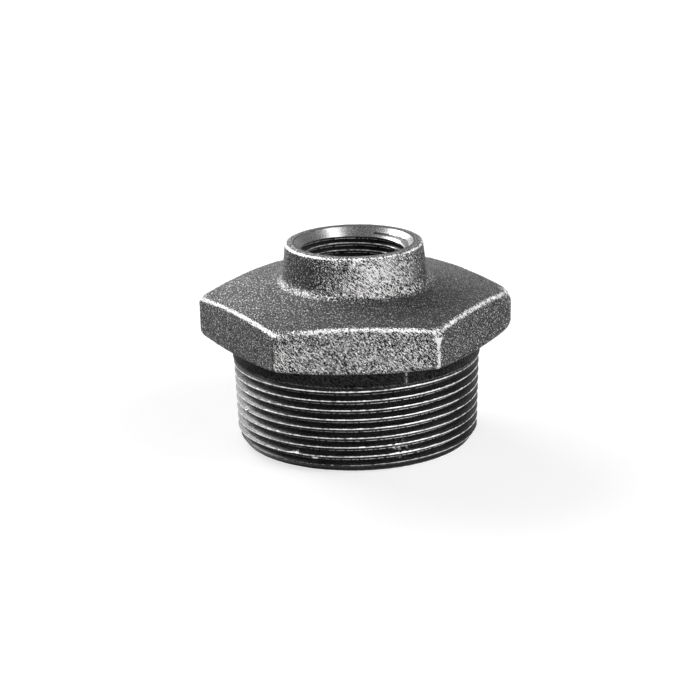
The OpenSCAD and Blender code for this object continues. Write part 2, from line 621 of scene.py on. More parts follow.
    def bands(self, neck_r: float, boss_foot: Array) -> list[Band]:
        """Builds the underside, the flats and the coned top.

        Args:
            neck_r: Radius at which the neck's fillet ends.
            boss_foot: Radius and height at which the boss's fillet starts.

        Returns:
            The bands from the neck up to the boss.
        """
        angle = self.angles()
        corner = 1 - smooth(self.from_corner(angle), *self.corner_reach)
        blunt = self.knocked.at(angle)
        low_r, low_z = self._low_edge(angle, self.low_edge * (1 + self.low_softer * corner) * blunt)
        top_r, top_z = self._top_edge(angle, self.top_edge * (1 + self.top_softer * corner) * blunt)
        under_r = between(np.full_like(angle, neck_r + self.fillet_gap), low_r[0], self.under_rows)
        cone_r = between(top_r[-1], np.full_like(angle, boss_foot[0]), self.cone_rows)
        flat_z = between(low_z[-1], top_z[0], self.face_rows)
        sand = self.by_flat(angle, self.flat_sand)
        tone = self.by_flat(angle, self.flat_painted_light)
        upright = self._upright(angle)
        low_wear = np.maximum(np.array(self.low_wear)[:, None], upright[0])
        low_edge_shade = np.linspace(*self.low_painted_shade, len(self.low_wear))[:, None] * tone
        across = np.sin(np.radians(np.linspace(*self.top_wave, self.top_rows)))[:, None]
        top_wear = across * self.by_flat(angle, self.top_wear) * self.top_spared.at(angle)
        flats, cone_painted_light = self.outline(angle), self.cone_painted_light.at(angle)
        return [
            # The underside takes the neck's near black skin, a painted shade under the hexagon
            Band(Zone.NECK, angle, under_r, self.under.under(under_r), sand=self.under_sand),
            Band(Zone.SKIN, angle, low_r, low_z, sand=sand, edge=low_wear, tone=low_edge_shade),
            Band(Zone.SKIN, angle, flats, flat_z, sand=sand, edge=upright, tone=tone),
            Band(Zone.SKIN, angle, top_r, top_z, sand=sand, edge=top_wear, tone=tone),
            Band(Zone.SKIN, angle, cone_r, self.top(cone_r), sand=self.cone_sand, tone=cone_painted_light),
        ]


@dataclass
class Boss:
    """Raised boss with a fillet at its foot, a draft, and a flat rim round the socket."""

    rim_z: float
    cone: Hexagon
    mouth_r: float
    rim_d: float = 33.5 * MM
    draft: float = 5.5
    fillet: float = 2.5 * MM
    rim_edge: float = 0.9 * MM
    columns: int = 270
    side_rows: int = 22
    edge_rows: int = 7
    land_rows: int = 3
    foot_sand: Span = (0.5, 1.0)
    edge_sand: Span = (0.8, 0.3)
    land_sand: float = 0.2
    # Wear of the rim's edge, with less of it at the back, where it is a painted shade
    rim_wear_and_shade: RoundShare = RoundShare(0.72, (Hump(200, 32, 0.2), Hump(90, 60, -0.5)))
    wear_wave: Span = (15, 165)
    # Painted light and shade: a painted shade in the fillet, a painted highlight along its middle row
    # by row, strongest at the left and the front right, and lighter and darker sides round the wall and
    # the rim by how the lamps fall on them
    foot_painted_shade: float = 0.2
    foot_highlight_rows: tuple[float, ...] = (0, 0.1, 0.4, 1, 1, 0.4, 0.1, 0)
    glow: RoundShare = RoundShare(0.0, (Hump(190, 26, 2.0), Hump(230, 20, 1.8), Hump(315, 18)))
    wall_painted_light: RoundShare = RoundShare(
        0.1, (Hump(256, 13, 0.55), Hump(289, 18.5, 4.0), Hump(314, 16, 0.7))
    )
    land_painted_light: RoundShare = RoundShare(0.85, (Hump(330, 40, -0.25), Hump(90, 60, -0.7)))
    # Rows of the fillet and of the rounded edge in which the next brightness comes in
    wall_from: Span = (1.0, 6.0)
    land_from: Span = (0.0, 4.0)

    @property
    def foot_rows(self) -> int:
        """Rows of the fillet, one for each share of its painted highlight."""
        return len(self.foot_highlight_rows)

    @property
    def rim(self) -> Array:
        """Corner of the boss's wall and its rim, as radius and height."""
        return np.array([self.rim_d / 2, self.rim_z])

    def foot(self) -> Array:
        """Fillet between the cone and the boss.

        Returns:
            The fillet's points, from the cone up.
        """
        cone = np.array([self.cone.apothem, self.cone.flat_top_z])
        cone_normal = unit(90 - self.cone.top_slope)
        return corner_arc(cone, cone_normal, self.rim, unit(self.draft), -self.fillet, self.foot_rows)

    def _painted_tones(self, angle: Array) -> Array:
        """Gives the painted light and shade of the boss.

        Args:
            angle: Angles of the columns.

        Returns:
            Shares for each row, from the foot to the rim.
        """
        above = self.side_rows + self.edge_rows + self.land_rows
        below = self.foot_rows + self.side_rows
        rise = np.r_[smooth(np.arange(self.foot_rows), *self.wall_from), np.ones(above)][:, None]
        low = np.r_[self.foot_highlight_rows, np.zeros(above)][:, None]
        rim_rows = np.arange(self.edge_rows + self.land_rows)
        over = np.r_[np.zeros(below), smooth(rim_rows, *self.land_from)][:, None]
        wall = self.foot_painted_shade * (1 - rise) + self.wall_painted_light.at(angle) * rise
        return (wall + low * self.glow.at(angle)) * (1 - over) + self.land_painted_light.at(angle) * over

    def band(self) -> Band:
        """Builds the boss from its fillet to the edge of the socket's mouth.

        Returns:
            The band.
        """
        foot = self.foot()
        edge = corner_arc(self.rim, unit(self.draft), self.rim, unit(90), self.rim_edge, self.edge_rows)
        side = between(foot[-1], edge[0], self.side_rows)
        land = between(edge[-1], np.array([self.mouth_r, self.rim_z]), self.land_rows)
        outline = np.vstack([foot, side, edge, land])
        angle = even_angles(self.columns)
        sand = np.r_[
            np.linspace(*self.foot_sand, self.foot_rows),
            np.ones(self.side_rows),
            np.linspace(*self.edge_sand, self.edge_rows),
            np.full(self.land_rows, self.land_sand),
        ]
        across = np.sin(np.radians(np.linspace(*self.wear_wave, self.edge_rows))) ** 2
        bright = np.r_[np.zeros(self.foot_rows + self.side_rows), across, np.zeros(self.land_rows)]
        return Band(
            Zone.SKIN, angle, outline[:, :1], outline[:, 1:], sand=sand[:, None],
            edge=bright[:, None] * self.rim_wear_and_shade.at(angle), tone=self._painted_tones(angle),
        )


@dataclass
class PipeSocket:
    """Countersunk mouth and parallel thread for the smaller pipe."""

    rim_z: float
    minor_r: float
    bottom_z: float
    mouth_d: float = 28.8 * MM
    mouth_angle: float = 45.0
    mouth_slack: float = 0.02 * MM
    columns: int = 144
    snap: float = 0.04 * MM
    form: RoundedThread = RoundedThread(INCH / 14, 146.0)

    @property
    def mouth_z(self) -> float:
        """Height at which the countersink ends in the thread."""
        return self.rim_z - (self.mouth_d / 2 - self.minor_r) / math.tan(math.radians(self.mouth_angle))

    def band(self) -> Band:
        """Builds the countersink and the thread that runs out of it.

        Returns:
            The band, from the rim down to the hollow.
        """
        angle = even_angles(self.columns)
        height = self.form.heights(angle, self.bottom_z, self.rim_z, self.snap)
        phase = self.form.phase(angle[None, :], height)
        groove = self.minor_r + self.form.cut(phase)
        slope = math.tan(math.radians(self.mouth_angle))
        cone = self.minor_r + (height - self.mouth_z) * slope
        radius = np.maximum(groove, cone)
        mouth = cone >= groove - self.mouth_slack
        crest = np.where(mouth, 0.0, self.form.crest(phase))
        # The roots carry a painted glint
        root = np.where(mouth, 0.0, self.form.root(phase))
        return Band(
            Zone.THREAD, angle, radius[::-1], height[::-1], crest=crest[::-1],
            root=root[::-1], mouth=mouth[::-1], wrap=-len(self.form.rows),
        )


@dataclass
class Hollow:
    """Cored hollow under the socket, open at the end face."""

    top_r: float
    top_z: float
    mouth_r: float
    draft: float = 2.0
    roof_slope: float = 24.0
    corner: float = 5.0 * MM
    sand: float = 0.8
    columns: int = 96
    roof_rows: int = 5
    corner_rows: int = 6
    wall_rows: int = 7

    def band(self) -> Band:
        """Builds the roof, its corner and the wall.

        Returns:
            The band, from the socket down to the end face.
        """
        top = np.array([self.top_r, self.top_z])
        mouth = np.array([self.mouth_r, 0.0])
        roof_normal, wall_normal = unit(90 - self.roof_slope), unit(self.draft)
        arc = corner_arc(top, roof_normal, mouth, wall_normal, self.corner, self.corner_rows)
        roof = between(top, arc[0], self.roof_rows)
        wall = between(arc[-1], mouth, self.wall_rows)
        outline = np.vstack([roof, arc, wall])
        return turned(Zone.CORE, even_angles(self.columns), outline, sand=self.sand)


@dataclass(frozen=True)
class Dent:
    """Mark of a knock."""

    angle: float
    height: float
    radius: float
    depth: float
    size: float
    along: float = 1.0
    shine: float = 0.0
    core: float = 0.25

    def near(self, points: Array) -> Array:
        """How near to the middle of the mark places are.

        Args:
            points: Places on the surface.

        Returns:
            Shares from 0 outside the mark to 1 at its middle.
        """
        way = unit(self.angle)
        side = points[:, 1] * way[0] - points[:, 0] * way[1]
        out = points[:, 0] * way[0] + points[:, 1] * way[1]
        outside = (out > 0) & (np.hypot(points[:, 0], points[:, 1]) > self.radius)
        far = np.hypot(side / self.along, points[:, 2] - self.height)
        return outside * (1 - smooth(far, self.core * self.size, self.size))


@dataclass
class Skin:
    """Closed surface that is joined from bands."""

    name: str
    seed: float = 7.3
    # Size and height of the sand's broad waves, lumps and grains, and how deep they lie
    waves: Span = (8.0 * MM, 0.10 * MM)
    lumps: Span = (2.2 * MM, 0.06 * MM)
    grains: Span = (0.9 * MM, 0.055 * MM)
    sunk: float = 0.05 * MM
    weld: float = 1e-4 * MM
    sharp_angle: float = 50.0
    points: list[Array] = field(default_factory=list)
    faces: list[Array] = field(default_factory=list)
    zones: list[Array] = field(default_factory=list)
    shares: dict[str, list[Array]] = field(
        default_factory=lambda: {name: [] for name in SHARES}
    )
    count: int = 0
    first: Ring | None = None
    last: Ring | None = None

    def add(self, band: Band) -> None:
        """Adds a band and joins it to the one before.

        Args:
            band: The band, whose first row lies next to the last row of the one before.
        """
        rows, columns = band.radius.shape
        index = self.count + np.arange(rows * columns).reshape(rows, columns)
        self.count += rows * columns
        self.points.append(band.points())
        for name, kept in self.shares.items():
            kept.append(getattr(band, name).ravel())
        low, high = max(0, -band.wrap), rows - max(0, band.wrap)
        here, there = index[:, :-1], index[:, 1:]
        self._quads(here[:-1], there[:-1], there[1:], here[1:], band.zone)
        edge = index[low:high, -1]
        back = index[low + band.wrap : high + band.wrap, 0]
        self._quads(edge[:-1], back[:-1], back[1:], edge[1:], band.zone)
        ring = (index[0], band.angle)
        if self.last is None:
            self.first = ring
        else:
            self._zip(self.last, ring, band.zone)
        self.last = (index[-1], band.angle)

    def close(self, zone: Zone) -> None:
        """Joins the last band to the first with faces of a zone."""
        self._zip(self.last, self.first, zone)

    def _quads(self, a: Array, b: Array, c: Array, d: Array, zone: Zone) -> None:
        """Keeps faces that are given by their corners.

        Args:
            a: First corner of each face.
            b: Second corners.
            c: Third corners.
            d: Fourth corners.
            zone: Zone of the faces.
        """
        faces = np.stack([a, b, c, d], axis=-1).reshape(-1, 4)
        self.faces.append(faces)
        self.zones.append(np.full(len(faces), zone.value))

    def _zip(self, low: Ring, high: Ring, zone: Zone) -> None:
        """Joins two rings of points, however many columns each has.

        Args:
            low: Indices and angles of the first ring.
            high: Indices and angles of the second ring.
            zone: Zone of the joining faces.
        """
        (a, angle_a), (b, angle_b) = low, high
        turn_a, turn_b = np.append(angle_a[1:], 360.0), np.append(angle_b[1:], 360.0)
        i = j = 0
        made = []
        while i < len(a) or j < len(b):
            at_a, at_b = a[i % len(a)], b[j % len(b)]
            if j == len(b) or (i < len(a) and turn_a[i] <= turn_b[j]):
                i += 1
                made.append((at_a, a[i % len(a)], at_b, at_b))
            else:
                j += 1
                made.append((at_a, b[j % len(b)], at_b, at_b))
        self.faces.append(np.array(made))
        self.zones.append(np.full(len(made), zone.value))

    def _merged(self) -> tuple[Array, Array, Array, dict[str, Array]]:
        """Merges points that coincide and drops faces that have closed up.

        Returns:
            The points, the faces, the faces' zones and the points' shares.
        """
        points = np.vstack(self.points)
        keys = np.round(points / self.weld).astype(np.int64)
        _, first, inverse = np.unique(keys, axis=0, return_index=True, return_inverse=True)
        faces = inverse.ravel()[np.vstack(self.faces)]
        ordered = np.sort(faces, axis=1)
        corners = 1 + (np.diff(ordered, axis=1) > 0).sum(axis=1)
        kept = corners >= 3
        shares = {name: np.concatenate(value)[first] for name, value in self.shares.items()}
        return points[first], faces[kept], np.concatenate(self.zones)[kept], shares

    @staticmethod
    def _normals(points: Array, faces: Array) -> Array:
        """Gives the normals of the points, from the faces that meet there.

        Args:
            points: The points.
            faces: Indices of the faces' corners.

        Returns:
            One unit vector a point.
        """
        across = points[faces[:, 2]] - points[faces[:, 0]]
        other = points[faces[:, 3]] - points[faces[:, 1]]
        normal = np.cross(across, other)
        total = np.zeros_like(points)
        for corner in range(4):
            np.add.at(total, faces[:, corner], normal)
        return total / np.maximum(np.linalg.norm(total, axis=1, keepdims=True), 1e-12)

    def _relief(self, points: Array, sand: Array) -> Array:
        """Gives the height of the rough skin over the smooth shape.

        Args:
            points: The points.
            sand: How rough the sand left each of them.

        Returns:
            One height a point.
        """
        offset = Vector((self.seed, -self.seed, self.seed / 2))
        layers = ((*self.waves, offset), (*self.lumps, offset), (*self.grains, -offset))
        made = np.zeros(len(points))
        for i in np.flatnonzero(sand > 0):
            place = Vector(points[i])
            rise = sum(height * noise.noise(place / size + moved) for size, height, moved in layers)
            made[i] = sand[i] * (rise - self.sunk)
        return made

    def build(self, dents: tuple[Dent, ...]) -> bpy.types.Object:
        """Makes the mesh.

        Args:
            dents: Marks of knocks.

        Returns:
            The new object, in the scene.
        """
        points, faces, zones, shares = self._merged()
        turned_mouth = shares["mouth"][faces].min(axis=1) > 0.5
        zones = np.where(turned_mouth, Zone.MOUTH.value, zones)
        normals = self._normals(points, faces)
        move = self._relief(points, shares["sand"])
        for dent in dents:
            near = dent.near(points)
            move = move - dent.depth * near
            shares["crest"] = np.maximum(shares["crest"], dent.shine * near)
        points = points + normals * move[:, None]
        mesh = bpy.data.meshes.new(self.name)
        listed = [list(dict.fromkeys(face)) for face in faces.tolist()]
        mesh.from_pydata(points.tolist(), [], listed)
        mesh.polygons.foreach_set("material_index", zones.astype(np.int32))
        mesh.polygons.foreach_set("use_smooth", np.ones(len(listed), bool))
        for name, value in shares.items():
            layer = mesh.attributes.new(name, "FLOAT", "POINT")
            layer.data.foreach_set("value", value.astype(np.float32))
        mesh.set_sharp_from_angle(angle=math.radians(self.sharp_angle))
        mesh.update()
        made = bpy.data.objects.new(self.name, mesh)
        bpy.context.scene.collection.objects.link(made)
        return made


class Nodes:
    """Node tree of one material, with short ways to add what the finishes share."""

    def __init__(self, name: str) -> None:
        """Makes the material.

        Args:
            name: Name of the material.
        """
        self.material = bpy.data.materials.new(name)
        self.material.use_nodes = True
        self.tree = self.material.node_tree
        self.shader = self.tree.nodes["Principled BSDF"]

    def add(self, kind: str, **settings: object) -> bpy.types.Node:
        """Adds a node.

        Args:
            kind: The node's type.
            settings: Its properties.

        Returns:
            The node.
        """
        node = self.tree.nodes.new(kind)
        for name, value in settings.items():
            setattr(node, name, value)
        return node

    def feed(self, socket: Socket, value: Socket | float | tuple) -> None:
        """Links a socket to another, or sets its value.

        Args:
            socket: Input socket.
            value: Output socket, number or colour.
        """
        if isinstance(value, bpy.types.NodeSocket):
            self.tree.links.new(value, socket)
        else:
            socket.default_value = value

    def shade(self, name: str, value: Socket | float | tuple) -> None:
        """Feeds one of the shader's inputs."""
        self.feed(self.shader.inputs[name], value)

    def share(self, name: str) -> Socket:
        """Gives a share that the mesh carries, such as edge."""
        return self.add("ShaderNodeAttribute", attribute_name=name).outputs["Fac"]

    def place(self) -> Socket:
        """Gives the place on the object, in metres."""
        return self.add("ShaderNodeTexCoord").outputs["Object"]

    def stretched(self, place: Socket, scale: tuple, tilt: float = 0.0) -> Socket:
        """Stretches whatever reads a place, along axes that may be tilted.

        Args:
            place: Place that is stretched.
            scale: How much longer things become along X, Y and Z.
            tilt: Degrees by which the axes are turned about Y.

        Returns:
            The new place.
        """
        node = self.add("ShaderNodeMapping", vector_type="TEXTURE")
        node.inputs["Rotation"].default_value = (0.0, math.radians(tilt), 0.0)
        node.inputs["Scale"].default_value = scale
        self.feed(node.inputs["Vector"], place)
        return node.outputs[0]

    def combine(self, operation: str, a: Socket | float, b: Socket | float) -> Socket:
        """Combines two values.

        Args:
            operation: The operation's name.
            a: First value.
            b: Second value.

        Returns:
            The result.
        """
        node = self.add("ShaderNodeMath", operation=operation)
        self.feed(node.inputs[0], a)
        self.feed(node.inputs[1], b)
        return node.outputs[0]

    def plus(self, a: Socket | float, b: Socket | float) -> Socket:
        """Adds two values."""
        return self.combine("ADD", a, b)

    def times(self, a: Socket | float, b: Socket | float) -> Socket:
        """Multiplies two values."""
        return self.combine("MULTIPLY", a, b)

    def most(self, a: Socket | float, b: Socket | float) -> Socket:
        """Gives the larger of two values."""
        return self.combine("MAXIMUM", a, b)

    def least(self, a: Socket | float, b: Socket | float) -> Socket:
        """Gives the smaller of two values."""
        return self.combine("MINIMUM", a, b)

    def noise(
        self, place: Socket, size: float, detail: float = 2.0, roughness: float = 0.5
    ) -> Socket:
        """Adds a noise.

        Args:
            place: Place at which it is read.
            size: Size of its lumps.
            detail: How many finer layers it has.
            roughness: How strong each finer layer is beside the one before.

        Returns:
            Values from 0 to 1, mostly near a half.
        """
        node = self.add("ShaderNodeTexNoise")
        self.feed(node.inputs["Vector"], place)
        node.inputs["Scale"].default_value = 1 / size
        node.inputs["Detail"].default_value = detail
        node.inputs["Roughness"].default_value = roughness
        return node.outputs["Fac"]

    def tool_lines(self, place: Socket, size: float, change: float, lean: float) -> Socket:
        """Adds fine lines that run round the axis, as a lathe tool leaves them.

        Args:
            place: Place at which they are read.
            size: Width of a line.
            change: How much a line changes round the axis, beside along it.
            lean: Share of the radius that is added to the height.

        Returns:
            Values from 0 to 1, mostly near a half.
        """
        parts = self.add("ShaderNodeSeparateXYZ")
        self.feed(parts.inputs[0], place)
        x, y, z = parts.outputs
        flat = self.add("ShaderNodeVectorMath", operation="LENGTH")
        self.feed(flat.inputs[0], self.join(x, y, 0.0))
        lifted = self.plus(z, self.times(flat.outputs["Value"], lean))
        ring = self.join(self.times(x, change), self.times(y, change), lifted)
        return self.noise(ring, size)

    def join(self, x: Socket | float, y: Socket | float, z: Socket | float) -> Socket:
        """Joins three numbers to a vector.

        Args:
            x: First number.
            y: Second number.
            z: Third number.

        Returns:
            The vector.
        """
        node = self.add("ShaderNodeCombineXYZ")
        for socket, value in zip(node.inputs, (x, y, z)):
            self.feed(socket, value)
        return node.outputs[0]

    def ramp(
        self, value: Socket, low: float, high: float, first: float = 0.0, last: float = 1.0
    ) -> Socket:
        """Turns a range of values into another, held at its ends.

        Args:
            value: Value that is read.
            low: Value that gives first.
            high: Value that gives last.
            first: Result at low.
            last: Result at high.

        Returns:
            The result.
        """
        node = self.add("ShaderNodeMapRange")
        for name, number in (
            ("From Min", low), ("From Max", high), ("To Min", first), ("To Max", last)
        ):
            node.inputs[name].default_value = number
        self.feed(node.inputs["Value"], value)
        return node.outputs["Result"]

    def mix(self, share: Socket | float, a: Socket | float, b: Socket | float) -> Socket:
        """Mixes two values.

        Args:
            share: Share of the second.
            a: First value.
            b: Second value.

        Returns:
            The mixed value.
        """
        node = self.add("ShaderNodeMix", data_type="FLOAT")
        self.feed(node.inputs[0], share)
        self.feed(node.inputs[2], a)
        self.feed(node.inputs[3], b)
        return node.outputs[0]

    def tint(self, value: Socket) -> Socket:
        """Turns a grey into a colour.

        Args:
            value: The grey.

        Returns:
            The colour.
        """
        node = self.add("ShaderNodeCombineColor")
        for socket in node.inputs:
            self.feed(socket, value)
        return node.outputs[0]

    def bump(self, height: Socket, strength: Socket | float, distance: float) -> Socket:
        """Adds a bump.

        Args:
            height: Height, from 0 to 1.
            strength: Share of the bump that shows.
            distance: Height of a bump of 1.

        Returns:
            The bent normal.
        """
        node = self.add("ShaderNodeBump")
        node.inputs["Distance"].default_value = distance
        self.feed(node.inputs["Strength"], strength)
        self.feed(node.inputs["Height"], height)
        return node.outputs["Normal"]


@dataclass(frozen=True)
class CastFinish:
    """Skin left by a sand mould: dark and grainy, with bare metal where it was knocked.

    The greys are the pits, the skin, the specks of grit, the brightest peaks and bare metal.
    The mesh's painted light scales the greys, and where it is strong the peaks turn to bright
    metal, a painted highlight.
    A span is where a noise turns from none of something to all of it.
    """

    name: str = "sand_cast_iron"
    pit: float = 0.004
    skin: float = 0.14
    grit: float = 0.88
    brightest: float = 0.95
    # How much the peaks turn bright under strong painted light, a painted highlight
    peak_highlight: float = 1.0
    bare: float = 0.8
    specular: float = 0.12
    metal: float = 0.6
    grain: float = 0.27 * MM
    grain_layers: float = 2.5
    grain_rough: float = 0.7
    fine: float = 0.75
    fine_share: float = 0.35
    speck: float = 0.3 * MM
    draw: float = 1.9
    relief: float = 1.4 * MM
    streak: float = 3.6
    slant: float = -45.0
    cloud: float = 7.0 * MM
    cloud_layers: float = 3.0
    cloud_drift: float = 0.03
    rough_span: Span = (0.472, 0.580)
    rough_gain: float = 3.9
    calm_span: Span = (0.45, 0.57)
    calm_greys: Span = (0.05, 1.6)
    speck_span: Span = (0.59, 0.665)
    speck_tone: float = 0.22
    speck_sand: Span = (0.2, 0.8)
    speck_shares: Span = (0.1, 1.0)
    peak_span: Span = (0.545, 0.585)
    # Painted light at which the peaks turn bright, and at which the grain rises towards them
    peak_tones: Span = (0.35, 1.2)
    bright_tones: Span = (1.2, 4.0)
    bright_lift: float = 0.035
    worn_span: Span = (0.5, 0.72)
    worn_ragged: float = 3.0
    roughness: Span = (0.5, 0.36)
    bump_shares: Span = (0.3, 1.0)

    def material(self) -> bpy.types.Material:
        """Builds the material.

        Returns:
            The material.
        """
        made = Nodes(self.name)
        place = made.place()
        sand, edge, tone = made.share("sand"), made.share("edge"), made.share("tone")
        drawn = made.stretched(place, (1.0, self.draw, 1.0))
        slanting = made.stretched(drawn, (1.0, 1.0, self.streak), self.slant)
        grain = made.noise(slanting, self.grain, self.grain_layers, self.grain_rough)
        fine = made.noise(drawn, self.grain * self.fine, 1.0)
        height = made.mix(self.fine_share, grain, fine)
        cloud = made.noise(place, self.cloud, self.cloud_layers)
        drift = made.ramp(cloud, *ALL_NOISE, -self.cloud_drift, self.cloud_drift)
        level = made.plus(height, drift)
        # The painted light scales the greys and the specks, and where it is strong it raises the grain
        # into bright metal peaks, a painted highlight
        bright = made.ramp(tone, 0.0, self.speck_tone)
        rough = made.ramp(sand, *self.speck_sand, *self.speck_shares)
        specks = made.ramp(made.noise(drawn, self.speck, 1.0), *self.speck_span)
        specks = made.times(specks, made.times(bright, rough))
        raised = made.plus(level, made.ramp(tone, *self.bright_tones, 0.0, self.bright_lift))
        highlighted = made.ramp(tone, *self.peak_tones, 0.0, self.peak_highlight)
        peaks = made.times(made.ramp(raised, *self.peak_span), highlighted)
        ragged = made.times(made.combine("SUBTRACT", height, 0.5), self.worn_ragged)
        worn = made.ramp(made.plus(edge, ragged), *self.worn_span)
        grey = made.times(self._greys(made, level, sand), tone)
        grey = made.least(made.mix(specks, grey, self.grit), self.brightest)
        grey = made.mix(worn, made.mix(peaks, grey, self.brightest), self.bare)
        made.shade("Base Color", made.tint(grey))
        metal = made.most(worn, made.most(specks, peaks))
        made.shade("Metallic", made.times(metal, self.metal))
        made.shade("Roughness", made.ramp(fine, *ALL_NOISE, *self.roughness))
        made.shade("Specular IOR Level", self.specular)
        strength = made.ramp(sand, 0.0, 1.0, *self.bump_shares)
        made.shade("Normal", made.bump(height, strength, self.relief))
        return made.material

    def _greys(self, made: Nodes, level: Socket, sand: Socket) -> Socket:
        """Adds the greys of the skin, calm where the sand left little and else rough.

        Args:
            made: Node tree that they are added to.
            level: Height of the grain, with its slow drift.
            sand: How rough the sand left the skin.

        Returns:
            The greys.
        """
        low, high = self.calm_greys
        calm = made.ramp(level, *self.calm_span, self.skin * low, self.skin * high)
        rough = made.ramp(level, *self.rough_span, self.pit, self.skin * self.rough_gain)
        return made.mix(sand, calm, rough)


@dataclass(frozen=True)
class ThreadFinish:
    """Cut thread: near black flanks with tool lines, bright crests, a painted glint in the roots and
    flanks brightened by the painted light.
    """

    name: str = "cut_thread_iron"
    flank: float = 0.015
    flank_greys: Span = (0.3, 1.8)
    specular: float = 0.1
    crest: float = 0.8
    # Greys of the painted glint in the roots and of the brightest flank under the painted light
    root: float = 0.85
    brightest_flank: float = 0.5
    metal: float = 0.8
    root_metal: float = 0.8
    line: float = 0.16 * MM
    line_change: float = 0.02
    line_lean: float = -0.9
    line_depth: float = 0.05 * MM
    bump_share: float = 0.5
    patch: float = 1.0 * MM
    patch_layers: float = 3.0
    patch_rough: float = 0.65
    patch_wear: Span = (-0.45, 0.2)
    dot: float = 0.5 * MM
    dot_greys: Span = (0.4, 1.4)
    worn_span: Span = (0.35, 0.7)
    glint_span: Span = (0.3, 0.8)
    broken_span: Span = (0.35, 0.55)
    roughness: Span = (0.3, 0.45)

    def material(self) -> bpy.types.Material:
        """Builds the material.

        Returns:
            The material.
        """
        made = Nodes(self.name)
        place = made.place()
        crest, root, tone = made.share("crest"), made.share("root"), made.share("tone")
        lines = made.tool_lines(place, self.line, self.line_change, self.line_lean)
        patch = made.noise(place, self.patch, self.patch_layers, self.patch_rough)
        dots = made.noise(place, self.dot, 1.0)
        ridge = made.plus(crest, made.ramp(patch, *ALL_NOISE, *self.patch_wear))
        worn = made.ramp(ridge, *self.worn_span)
        broken = made.ramp(dots, *self.broken_span)
        glint = made.times(made.ramp(root, *self.glint_span), broken)
        low, high = self.flank_greys
        grey = made.ramp(lines, *MOST_NOISE, self.flank * low, self.flank * high)
        grey = made.times(grey, made.ramp(dots, *MOST_NOISE, *self.dot_greys))
        grey = made.least(made.times(grey, tone), self.brightest_flank)
        grey = made.mix(worn, made.mix(glint, grey, self.root), self.crest)
        made.shade("Base Color", made.tint(grey))
        metal = made.most(worn, made.times(glint, self.root_metal))
        made.shade("Metallic", made.times(metal, self.metal))
        made.shade("Roughness", made.ramp(lines, *ALL_NOISE, *self.roughness))
        made.shade("Specular IOR Level", self.specular)
        made.shade("Normal", made.bump(lines, self.bump_share, self.line_depth))
        return made.material


@dataclass(frozen=True)
class MouthFinish:
    """Turned countersink: grey iron with fine tool lines that follow the axis."""

    name: str = "turned_mouth_iron"
    grey: float = 0.08
    greys: Span = (0.7, 1.3)
    line: float = 0.12 * MM
    line_change: float = 0.05
    line_lean: float = 0.7
    line_depth: float = 0.03 * MM
    bump_share: float = 0.4
    grain: float = 0.35 * MM
    grain_share: float = 0.5
    roughness: Span = (0.22, 0.32)
    metal: float = 0.6
    specular: float = 0.6
    drawn_out: float = 0.5

    def material(self) -> bpy.types.Material:
        """Builds the material.

        Returns:
            The material.
        """
        made = Nodes(self.name)
        place = made.place()
        lines = made.tool_lines(place, self.line, self.line_change, self.line_lean)
        fine = made.noise(place, self.grain)
        low, high = self.greys
        blend = made.mix(self.grain_share, lines, fine)
        grey = made.ramp(blend, *MOST_NOISE, self.grey * low, self.grey * high)
        made.shade("Base Color", made.tint(grey))
        made.shade("Roughness", made.ramp(fine, *ALL_NOISE, *self.roughness))
        made.shade("Metallic", self.metal)
        made.shade("Specular IOR Level", self.specular)
        made.shade("Anisotropic", self.drawn_out)
        tangent = made.add("ShaderNodeTangent", direction_type="RADIAL", axis="Z")
        made.shade("Tangent", tangent.outputs[0])
        made.shade("Normal", made.bump(lines, self.bump_share, self.line_depth))
        return made.material


@dataclass
class Casting:
    """The whole bush, joined from its stretches."""

    male: MaleThread
    neck: Neck
    hexagon: Hexagon
    boss: Boss
    socket: PipeSocket
    hollow: Hollow
    name: str = "reducer_casting"
    # Angle, height, least radius, depth and size, then length over height, and shine
    dents: tuple[Dent, ...] = (
        Dent(205.8, 10.9 * MM, 27 * MM, 0.5 * MM, 0.9 * MM),
        Dent(239.5, 4.2 * MM, 27 * MM, 0.25 * MM, 0.8 * MM, 2.4, 1.0),
        Dent(248.3, 3.3 * MM, 27 * MM, 0.2 * MM, 0.8 * MM, 1.6, 1.6),
        Dent(291.6, 22.3 * MM, 28 * MM, 0.6 * MM, 1.7 * MM, 0.22),
        Dent(297.1, 34.1 * MM, 30 * MM, 0.35 * MM, 0.7 * MM, 1.6),
        Dent(290.0, 5.2 * MM, 26 * MM, 0.0, 5.0 * MM, 0.8, 0.5),
    )
    # One finish for each zone, in the order of the zones' values
    finishes: tuple[CastFinish | ThreadFinish | MouthFinish, ...] = (
        CastFinish(),
        ThreadFinish(),
        MouthFinish(),
        # The neck and the hexagon's underside get a near black skin, a painted shade under the hexagon
        CastFinish(
            "shaded_cast_iron", skin=0.022, grit=0.12, brightest=0.4, peak_highlight=0.0,
            bare=0.3, specular=0.02,
        ),
        CastFinish("cored_cast_iron", skin=0.08, grit=0.3, brightest=0.3, peak_highlight=0.0),
    )

    def bands(self) -> list[Band]:
        """Builds the bands of every stretch.

        Returns:
            The bands in order, from the end face up the outside and down the inside.
        """
        neck = self.neck.band()
        neck_end = neck.radius[-1, 0]
        return [
            self.male.end_face(),
            self.male.thread(),
            neck,
            *self.hexagon.bands(neck_end, self.boss.foot()[0]),
            self.boss.band(),
            self.socket.band(),
            self.hollow.band(),
        ]

    def build(self) -> bpy.types.Object:
        """Builds the skin and dresses it.

        Returns:
            The casting.
        """
        skin = Skin(self.name)
        for band in self.bands():
            skin.add(band)
            LOG.info("%s: %d rows by %d columns", band.zone.name.lower(), *band.radius.shape)
        skin.close(Zone.CORE)
        made = skin.build(self.dents)
        for finish in self.finishes:
            made.data.materials.append(finish.material())
        return made


